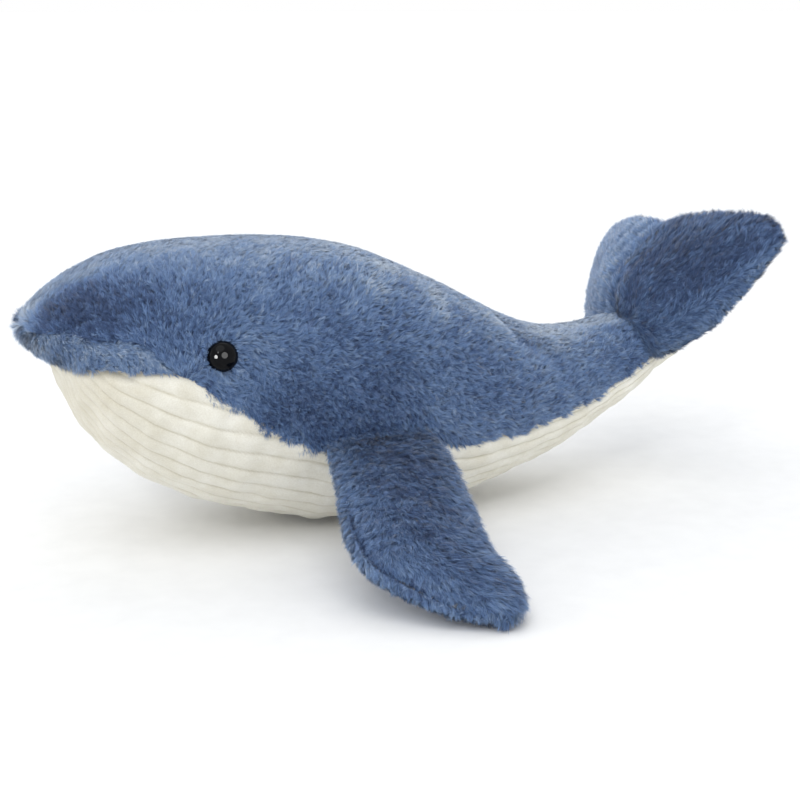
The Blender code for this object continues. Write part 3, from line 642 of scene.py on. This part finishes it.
def patches(table, points, side):
    """The sum of a table's soft round patches at points of the body."""
    change = np.zeros(points.shape[:2])
    for row, degrees, amount, reach in table:
        centre = body_points(np.array(row), np.radians(degrees), side)
        change += amount * np.exp(-((points - centre) ** 2).sum(-1) / (2 * reach ** 2))
    return change


def part_around_eye(points, flow, density, side):
    """Clears the eye and turns the pile away from it."""
    centre, _ = EYES[side]
    away = points - centre
    far = np.linalg.norm(away, axis=-1)
    near = np.exp(-((far / EYE_PARTING) ** 4))[..., None]
    flow = unit(flow * (1 - near) + unit(away) * near)
    density = density * smooth(far, EYE_CLEAR, EYE_WHOLE)
    return flow, density


def seam_wobble(rows, side):
    """How the fringe wanders about the seam, along the rows."""
    return np.sin(rows * 5.1 + side) + 0.8 * np.sin(rows * 8.3 + 2.0) + 0.6 * np.sin(rows * 13.7 + side)


SIDE_ROWS = np.linspace(0.04, LAST_SIDE_ROW, 230)
piles = []
for side, word in ((LEFT, "left"), (RIGHT, "right")):
    rows = SIDE_ROWS
    low = (crease_angle(rows) + np.radians(2.5) * smooth(rows, 13, 15.5)
           - np.radians(1.5) * seam_wobble(rows, side) * smooth(rows, 6, 8))
    row, angle, points, normal, arc = body_fields(
        rows, low, np.full(len(rows), np.pi / 2), 76, side, BLUE_INSET,
        first_gap=SEAM_DEPTH * smooth(rows, 1.5, 5)[:, None])
    brow = 1.7 * MM * np.exp(-((row - 2.4) / 1.5) ** 2) * smooth(np.degrees(angle), 20, 60)
    points = points - normal * (patches(DENTS, points, side) - brow)[..., None]
    skin = surface(f"{word}_side_skin", [(points, side == RIGHT)], blue_backing)
    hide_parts(f"{word}_side_panel", f"{word}_tail_panel")
    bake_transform(skin)
    along, across = body_frame(points, side)
    level, forward = np.degrees(angle) + 6 * wave(points, 0.016, 23 + side), 1 - smooth(row, 3, 7)
    # On the far side the levels are raised: its pile lies flat and tailward further down, and its painted light
    # along the back reaches further down.
    if side == RIGHT:
        level = level + 14 + 26 * (1 - smooth(row, 1, 4))
    crest = smooth(level, 54 - 8 * forward, 86 - 8 * forward)
    flow = side_flow(points, crest, along, across, side, 11 + side)
    # Painted light: the pile is lighter towards the back, as if lit from above, and paler still in a band along
    # the back line, a painted sheen.
    painted_top_light = smooth(level, 35, 80)
    painted_crest_sheen = smooth(level, 48, 88 - 6 * forward) * (0.18 + 0.14 * smooth(row, 7.5, 10))
    # On the far side the darker patches fade near the back of the head, which paints that edge lighter.
    marks = patches(TONE_AND_SHADE_PATCHES, points, side) * (1 if side == LEFT else 1 - 0.7 * forward * smooth(level, 50, 62))
    # The tone also rises towards the tip of the snout: painted light on its front.
    tone = (0.38 + 0.15 * painted_top_light + painted_crest_sheen + 0.06 * wave(points, 0.026, 21 + side) + marks
            + 0.22 * (1 - smooth(row, 0.5, 2.2)))
    density = 1 + 0.35 * crest + 1.1 * np.exp(-(arc / (6 * MM)) ** 2)
    flow, density = part_around_eye(points, flow, density, side)
    ragged = 1 + np.exp(-(arc / (8 * MM)) ** 2) * (0.14 + 0.20 * wave(points, 0.013, 25 + side))
    tufty = (9 * wave(points, 0.009, 27 + side) * (1 - crest)
             - 13 * np.exp(-(arc / (5 * MM)) ** 2) * smooth(row, 5, 7))
    curl = np.clip(patches(CURLED, points, side) + 0.12 * wave(points, 0.020, 29 + side), 0, 1) * (1 - crest)
    snout = 1 - smooth(row, 0.8, 4.2)
    ahead = (1 - smooth(row, 0.6, 2.4))[..., None] * np.array((-0.4, -0.4, 0.9))
    fields = {"point": points, "normal": normal, "lit": normal + ahead, "flow": flow, "tone": tone,
              "long": (1 - 0.20 * crest + 0.25 * snout) * ragged * (1 - 0.25 * curl),
              "lift": patches(STANDING, points, side) + tufty + 12 * snout, "flat": 1 - 0.55 * crest, "curl": curl}
    x = points[..., 0]
    for part, low_x, high_x, count, seed in SIDE_PILES:
        inside = density * (x >= low_x) * (x < high_x) * (row < LAST_PILE_ROW)
        tail = part == "tail"
        piles.append((f"{word}_{part}_pile", fields, count, seed + side, inside,
                      None if tail else "torso", tail))

# The lip: a band under the crease, round the snout and down to the seam
lip_grids = []
for side, word in ((LEFT, "left"), (RIGHT, "right")):
    rows = np.linspace(0.04, LIP_END_ROW - 0.05, 80)
    tip = (1 - smooth(rows, 0.3, 1.8))[:, None]
    gap = SEAM_DEPTH * smooth(rows, 1.5, 5)[:, None]
    row, _, points, normal, _ = body_fields(
        rows, seam_angle(rows), crease_angle(rows), 24, side, BLUE_INSET - 0.4 * MM - 1.4 * MM * tip,
        first_gap=gap, last_gap=gap)
    lip_grids.append((points, side == RIGHT))
    along, across = body_frame(points, side)
    turn = np.radians(-24 + 22 * wave(points, 0.016, 51 + side))[..., None]
    far = side == RIGHT
    front = (1 - smooth(row, 1.0, 5.0 if far else 3.5))[..., None] * np.array((-0.7, -0.5, 1.1))
    flow = along * np.cos(turn) + across * np.sin(turn)
    fields = {"point": points, "normal": normal, "lit": unit(normal + front), "flow": flow,
              # Painted light: the lip is lighter towards the front of the snout, and more so on the far side,
              # which faces away from the light.
              "tone": (0.58 + 0.11 * wave(points, 0.012, 53)
                       + (0.32 if far else 0.20) * (1 - smooth(row, 0.8, 4.0 if far else 3.0))),
              "long": 0.9 + 0.4 * tip + np.zeros(points.shape[:2]),
              "lift": 22 * tip + 6 * wave(points, 0.010, 54), "flat": np.ones(points.shape[:2]),
              "curl": np.clip(0.2 * wave(points, 0.015, 56), 0, 1)}
    piles.append((f"lip_pile_{word}", fields, LIP_BLADES, 55 + side, None, "torso", None))
lip = surface("lip_skin", lip_grids, blue_backing)
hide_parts("lip_band")
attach(lip, "torso")

# The belly: ribs sewn along lines of constant angle round the section
RIB_FIRST, RIB_PITCH, RIB_DEPTH = -2.3, -9.2, 1.5 * MM
BELLY_EDGE_DEPTH, BELLY_EDGE_REACH = 3.6 * MM, 4.5 * MM
rows = np.concatenate([np.linspace(CHIN_ROW + 0.01, 20.4, 244), np.linspace(20.45, LAST_BELLY_ROW, 10)])
spread = np.linspace(-1, 1, 321)
row = np.repeat(rows[:, None], len(spread), 1)
tucked = np.radians(4.5 * smooth(rows, 5, 7) + 2.5 * smooth(rows, 13, 15.5))
angle = -np.pi / 2 + np.abs(spread)[None] * (seam_angle(rows)[:, None] + tucked[:, None] + np.pi / 2)
side = np.where(spread < 0, -1, 1)[None]
shell = body_points(row, angle, side)
normal = outward_normals(shell, -1)
phase = (np.degrees(angle) - RIB_FIRST) / RIB_PITCH + 0.05 * wave(shell, 0.035, 71)
crown = np.abs(np.sin(np.pi * phase)) ** 0.48
edge = np.minimum(arc_from_edge(shell), arc_from_edge(shell[:, ::-1])[:, ::-1])
depth = (CREAM_INSET + RIB_DEPTH * (1 - crown) * (0.5 + 0.5 * smooth(row, 3.2, 5.2))
         + BELLY_EDGE_DEPTH * np.exp(-(edge / BELLY_EDGE_REACH) ** 2))
depth = depth + 0.5 * MM * wave(shell, 0.022, 72)
points = shell - normal * depth[..., None]
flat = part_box("belly_panel")[0][2]
points[..., 2] = np.maximum(points[..., 2], flat)
sewn = 0.35 + 0.65 * smooth(row, 3.4, 5.6)
# Painted shade: the cream is greyed in the rib grooves, along the belly's edge under the blue fringe, and towards
# the chin.
fold = np.exp(-(np.abs(np.sin(np.pi * phase)) / 0.17) ** 2) * sewn * (0.75 + 0.25 * wave(shell, 0.030, 73))
fold = np.maximum(fold, np.exp(-(edge / (2.5 * MM)) ** 2))
fold = fold + (1 - fold) * 0.55 * (1 - smooth(row, 4.0, 7.0))
belly = surface("belly_skin", [(points, False)], cream_pile, {"fold": fold})
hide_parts("belly_panel", "tail_belly_panel", "torso_filling", "tail_filling")
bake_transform(belly)


# ---------------------------------------------------------------- fluke
FLUKE_ROOT_SWELL = 10.0 * MM
FLUKE_TURN = np.array((Matrix.Rotation(-math.radians(FLUKE_RISE), 3, "Y")
                       @ Matrix.Rotation(math.radians(FLUKE_LEAN), 3, "Z")))


def rounding(place, last):
    """How far a place past the last row has gone round the tip, and how wide the tip still is."""
    past = np.clip(place - last, 0, 1) * np.pi / 2
    return np.sin(past), np.cos(past)


def fluke_folds(signed_row, across):
    """The folds that run up the far lobe from the notch at its root."""
    bent = signed_row + 0.55 * across + 0.30 * across ** 2
    return 1.8 * MM * np.cos(2 * np.pi * bent / 0.72) * np.exp(-((signed_row - 0.55) / 1.25) ** 2)


def fluke_points(signed_row, across, sheet, inset):
    r = rows_at(FLUKE_ROWS, np.abs(signed_row))
    gone, wide = rounding(np.abs(signed_row), len(FLUKE_ROWS) - 1)
    root = np.exp(-((r[..., 0] - 0.30) / 0.22) ** 2)
    lead = r[..., 1] + root * np.where(signed_row < 0, -0.070, 0.055)
    middle, half = (lead + r[..., 2]) / 2, (r[..., 2] - lead) / 2
    half = (half - inset / FLUKE_CHORD) * wide
    thick = np.maximum(FLUKE_THICKNESS / 2 * r[..., 3] - inset, MIN_HALF_THICKNESS) * wide
    arch = np.sqrt(np.clip(1 - across ** 2, 0, 1))
    height = thick * arch
    if sheet > 0:
        swell = np.exp(-((signed_row + 0.3) / 1.7) ** 2) * smooth(-across, -0.7, 0.4)
        height = height + arch * (FLUKE_ROOT_SWELL * swell + fluke_folds(signed_row, across))
    sweep = np.where(signed_row < 0, LOBE_SWEEP[LEFT], LOBE_SWEEP[RIGHT])
    local = np.stack([
        FLUKE_CHORD * (middle + across * half),
        np.sign(signed_row) * ((FLUKE_HALF_WIDTH - inset) * r[..., 0] + TIP_ROUND * gone),
        sheet * height - sweep * r[..., 0] ** 2,
    ], -1)
    return local @ FLUKE_TURN.T + np.array(FLUKE_PIVOT)


columns = np.sin(np.linspace(-np.pi / 2, np.pi / 2, 61))
for sheet, word in ((1, "upper"), (-1, "lower")):
    span = np.linspace(-9, 9, 201)
    row = np.repeat(span[:, None], len(columns), 1)
    across = np.repeat(columns[None], len(span), 0)
    points = fluke_points(row, across, sheet, LIMB_INSET)
    normal = outward_normals(points, -sheet)
    skin = surface(f"fluke_{word}_skin", [(points, sheet > 0)], blue_backing)
    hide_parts(f"fluke_{word}_panel", *(["fluke_filling"] if sheet > 0 else []))
    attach(skin, "fluke")
    outward, chord = slopes(points)
    outward = unit(outward) * np.sign(row + 1e-6)[..., None]
    mix = np.radians(35 - 75 * smooth(-across, 0.55, 0.95) + 25 * wave(points, 0.06, 81))[..., None]
    flow = outward * np.cos(mix) + unit(chord) * np.sin(mix)
    # Painted shade and light: the near lobe is painted much darker than the far lobe, and its edges and tip are
    # painted lighter, as light catching them.
    near_lobe = 1 - smooth(row, -1.0, 1.0)
    edges = (0.24 * smooth(-across, 0.35, 0.92) + 0.14 * smooth(across, 0.35, 0.9) * smooth(row, -6, -1)
             + 0.22 * smooth(np.abs(across), 0.95, 1.0) + 0.20 * smooth(-row, 7.6, 9))
    tone = (0.09 + edges) * near_lobe + 0.59 * (1 - near_lobe) + 0.06 * wave(points, 0.022, 83)
    # Painted light and shade on the folds: lighter on their ridges, darker in their troughs.
    if sheet > 0:
        tone = tone + 0.09 * fluke_folds(row, across) / MM
    rim = np.maximum(smooth(np.abs(across), RIM_START, 1.0), smooth(np.abs(row), 7.6, 9))[..., None] * (sheet < 0)
    fields = {"point": points, "normal": normal,
              "lit": normal + FLUKE_RIM_TILT * rim * (FLUKE_TURN @ np.array((0, 0, 1.0))),
              "flow": flow, "tone": tone, "long": 0.88 + 0.10 * smooth(np.abs(row), 7.6, 9),
              "flat": np.ones(points.shape[:2]),
              "lift": 7 * wave(points, 0.010, 84),
              "curl": np.clip(0.15 + 0.25 * wave(points, 0.020, 86), 0, 1) * (1 - smooth(-across, 0.5, 0.9))}
    piles.append((f"fluke_{word}_pile", fields, FLUKE_BLADES, 85 + sheet, None, "fluke", None))

# ---------------------------------------------------------------- flippers
root_reach = FLIPPER_THICKNESS / 2 * FLIPPER_ROWS[0, 3]
drop = FLIPPER_PIVOT[LEFT][2] + FLIPPER_SINK
droops = []
for length, _, _, thick in FLIPPER_ROWS[:-1]:
    reach, under = FLIPPER_LENGTH * length - root_reach, FLIPPER_THICKNESS / 2 * thick
    if reach > 0 and math.hypot(reach, under) > drop:
        droops.append(math.asin(drop / math.hypot(reach, under)) - math.atan2(under, reach))
DROOP = min(droops)


def flipper_seam(place, across):
    """The sewn edge, just above the front rim, where the under panel wraps up."""
    return np.exp(-((across + 0.885) / 0.035) ** 2) * smooth(place, 2.0, 4.0)


def flipper_points(place, across, sheet, side, inset):
    r = rows_at(FLIPPER_ROWS, place)
    gone, wide = rounding(place, len(FLIPPER_ROWS) - 1)
    outward = np.array((0, side * math.cos(DROOP), -math.sin(DROOP)))
    upward = np.array((0, side * math.sin(DROOP), math.cos(DROOP)))
    half = (r[..., 2] - inset / FLIPPER_WIDTH) * wide
    thick = np.maximum(FLIPPER_THICKNESS / 2 * r[..., 3] - inset, MIN_HALF_THICKNESS) * wide
    height = thick * np.sqrt(np.clip(1 - across ** 2, 0, 1))
    if sheet > 0:
        height = height - 2.4 * MM * flipper_seam(place, across)
    reach = ((FLIPPER_LENGTH - inset) * r[..., 0] - root_reach + TIP_ROUND * gone
             + ROOT_TUCK * np.clip(place, -1, 0))
    offset = FLIPPER_WIDTH * (r[..., 1] + half * across)
    return (FLIPPER_PIVOT[side] + offset[..., None] * np.array((1.0, 0, 0)) + outward * reach[..., None]
            + upward * (sheet * height)[..., None])


for side, hand in ((LEFT, "left"), (RIGHT, "right")):
    for sheet, word in ((1, "upper"), (-1, "lower")):
        place = np.linspace(-1.0, 10.0, 133)
        row = np.repeat(place[:, None], len(columns), 1)
        across = np.repeat(columns[None], len(place), 0)
        points = flipper_points(row, across, sheet, side, LIMB_INSET)
        sense = side * sheet
        normal = outward_normals(points, -sense)
        skin = surface(f"{hand}_flipper_{word}_skin", [(points, sense > 0)], blue_backing)
        extra = [f"{hand}_flipper_filling"] if sheet > 0 else []
        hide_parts(f"{hand}_flipper_{word}_panel", *extra)
        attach(skin, f"{hand}_flipper")
        outward, chord = slopes(points)
        fan = np.radians(52 * across * smooth(row, -1, 3) + 12 * wave(points, 0.03, 91))[..., None]
        flow = unit(outward) * np.cos(fan) + unit(chord) * np.sin(fan)
        middle = np.exp(-((row - 2.6) / 2.0) ** 2 - (across / 0.5) ** 2)
        # Painted light: the pile is lighter towards the rims.
        tone = (0.24 + 0.12 * smooth(np.abs(across), 0.35, 0.85) - 0.12 * middle + 0.10 * smooth(row, 5.5, 9)
                + 0.06 * wave(points, 0.022, 93))
        seam = flipper_seam(row, across) if sheet > 0 else np.zeros(row.shape)
        band = smooth(-across, 0.88, 0.93) if sheet > 0 else np.ones(row.shape)
        rim = np.maximum(smooth(np.abs(across), RIM_START, 1.0), smooth(row, 8.6, 10))[..., None] * (sheet < 0)
        above = np.exp(-((across + 0.82) / 0.09) ** 2) * smooth(row, 2, 4) * (sheet > 0)
        tips = smooth(row, 8.2, 9.6) * (0.14 + 0.12 * wave(points, 0.008, 97))
        fields = {"point": points, "normal": normal,
                  "lit": normal + FLIPPER_RIM_TILT * rim * np.array((0, 0, 1.0)),
                  # Painted shade along the sewn seam, and painted light on the band below it and on the whole
                  # lower sheet, which lie in the shade of the upper sheet.
                  "flow": flow, "tone": tone - 0.34 * seam + 0.10 * band,
                  "long": 0.90 - 0.25 * seam - 0.38 * above - 0.25 * band + tips,
                  "flat": np.ones(points.shape[:2]),
                  "lift": 7 * wave(points, 0.010, 94),
                  "curl": np.clip(0.1 + 0.2 * wave(points, 0.020, 96) + 0.3 * middle, 0, 1)}
        blades = UPPER_FLIPPER_BLADES if sheet > 0 else LOWER_FLIPPER_BLADES
        piles.append((f"{hand}_flipper_{word}_pile", fields, blades, 95 + 2 * side + sheet, None,
                      f"{hand}_flipper", None))

for name, fields, count, seed, density, body, blended in piles:
    style = LIMB_PILE if "fl" in name[:12] and "flank" not in name else BODY_PILE
    pile = grow(name, fields, count, seed, blue_pile, style, density)
    if blended:
        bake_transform(pile)
    else:
        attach(pile, body)


# ---------------------------------------------------------------- eyes
def turned(name, profile, origin, axis, material, turns=96):
    """A solid turned about an axis from a profile of radius and height."""
    axis = unit(np.asarray(axis))
    helper = np.array((0, 0, 1.0)) if abs(axis[2]) < 0.9 else np.array((1.0, 0, 0))
    first = unit(np.cross(helper, axis))
    second = np.cross(axis, first)
    ring = np.linspace(0, 2 * np.pi, turns + 1)
    radius, height = np.array(profile).T
    spoke = first * np.cos(ring)[None, :, None] + second * np.sin(ring)[None, :, None]
    points = origin + axis * height[:, None, None] + radius[:, None, None] * spoke
    return surface(name, [(points, True)], material)


for side, hand in ((LEFT, "left"), (RIGHT, "right")):
    centre, out = EYES[side]
    arc = np.linspace(0, np.pi / 2, 33)
    profile = [(0.0, -EYE_BASE_DEPTH), (EYE_BASE_RADIUS, -EYE_BASE_DEPTH), (EYE_RADIUS, -EYE_SINK)]
    profile += [(EYE_RADIUS * math.cos(a), EYE_DOME_HEIGHT * math.sin(a) - EYE_SINK) for a in arc]
    eye = turned(f"{hand}_eye_dome", profile, centre, out, eye_gloss)
    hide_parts(f"{hand}_eye")
    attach(eye, "torso")
    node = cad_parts[f"{hand}_eye_washer"]
    for material_slot in node.material_slots:
        material_slot.material = washer_plastic

# ---------------------------------------------------------------- floor, light and camera
bpy.ops.mesh.primitive_plane_add(size=120, location=(0, 0, FLOOR_Z))
floor = bpy.context.object
floor.name = "floor"
paper = Nodes("pale_paper", 0.9)
grain = paper.noise(paper.object_vector(), 60.0)
paper.colour(paper.ramp(grain, [(0.3, (0.87, 0.87, 0.87, 1)), (0.7, (0.90, 0.90, 0.90, 1))]))
floor.data.materials.append(paper.material)

# The sky lights the toy at one strength. What the camera and the gloss see of it is plain white.
SKY_STRENGTH = 0.83
world = bpy.data.worlds.new("studio")
bpy.context.scene.world = world
world.use_nodes = True
tree = world.node_tree
sky = tree.nodes["Background"]
seen = tree.nodes.new("ShaderNodeBackground")
seen.inputs["Color"].default_value = (1, 1, 1, 1)
seen.inputs["Strength"].default_value = 1.0
sky.inputs["Color"].default_value = (0.96, 0.98, 1.0, 1)
sky.inputs["Strength"].default_value = SKY_STRENGTH
rays = tree.nodes.new("ShaderNodeLightPath")
either = tree.nodes.new("ShaderNodeMath")
either.operation = "MAXIMUM"
tree.links.new(rays.outputs["Is Camera Ray"], either.inputs[0])
tree.links.new(rays.outputs["Is Glossy Ray"], either.inputs[1])
mix = tree.nodes.new("ShaderNodeMixShader")
tree.links.new(either.outputs[0], mix.inputs[0])
tree.links.new(sky.outputs[0], mix.inputs[1])
tree.links.new(seen.outputs[0], mix.inputs[2])
tree.links.new(mix.outputs[0], tree.nodes["World Output"].inputs["Surface"])


def lamp(name, kind, place, target, power, **settings):
    data = bpy.data.lights.new(name, kind)
    data.energy = power
    for key, value in settings.items():
        setattr(data, key, value)
    item = bpy.data.objects.new(name, data)
    bpy.context.scene.collection.objects.link(item)
    item.location = place
    item.rotation_euler = (Vector(target) - Vector(place)).to_track_quat("-Z", "Y").to_euler()
    return item


AIM = (0, 0, 0.06)
# Lamps for one eye each, which light only its gloss: name, x, y on the right side, z, power, width
EYE_LAMPS = (("glint", -0.761, 0.629, 0.158, 9.0, 22), ("softbox", 0.084, 0.984, 0.330, 3.8, 36))
lamp("key", "SUN", (-0.5, -0.8, 2.0), AIM, 0.80, angle=math.radians(50))
lamp("spread", "SUN", (-0.9, -1.1, 1.1), AIM, 0.30, angle=math.radians(9))
lamp("front", "SUN", (-0.9, 0.45, 0.35), AIM, 0.40, angle=math.radians(40))
for side, hand in ((LEFT, "left"), (RIGHT, "right")):
    alone = bpy.data.collections.new(f"{hand}_eye_only")
    alone.objects.link(bpy.data.objects[f"{hand}_eye_dome"])
    for name, x, y, z, power, wide in EYE_LAMPS:
        item = lamp(f"{hand}_{name}", "SUN", (x, side * y, z), (0, 0, 0), power, angle=math.radians(wide))
        item.visible_diffuse = False
        item.light_linking.receiver_collection = alone
lamp("rim", "SUN", (0.5, 1.2, 1.6), AIM, 0.4, angle=math.radians(50))

# Fitted to the photograph
CAMERA_PLACE, CAMERA_AIM, CAMERA_LENS = (-0.37087, -0.84210, 0.29213), (0.00405, 0, 0.0623), 71.264
camera_data = bpy.data.cameras.new("camera")
camera_data.lens, camera_data.sensor_width = CAMERA_LENS, 36.0
camera = bpy.data.objects.new("camera", camera_data)
bpy.context.scene.collection.objects.link(camera)
camera.location = CAMERA_PLACE
camera.rotation_euler = (Vector(CAMERA_AIM) - camera.location).to_track_quat("-Z", "Y").to_euler()
bpy.context.scene.camera = camera
bpy.context.scene.view_settings.view_transform = "Standard"
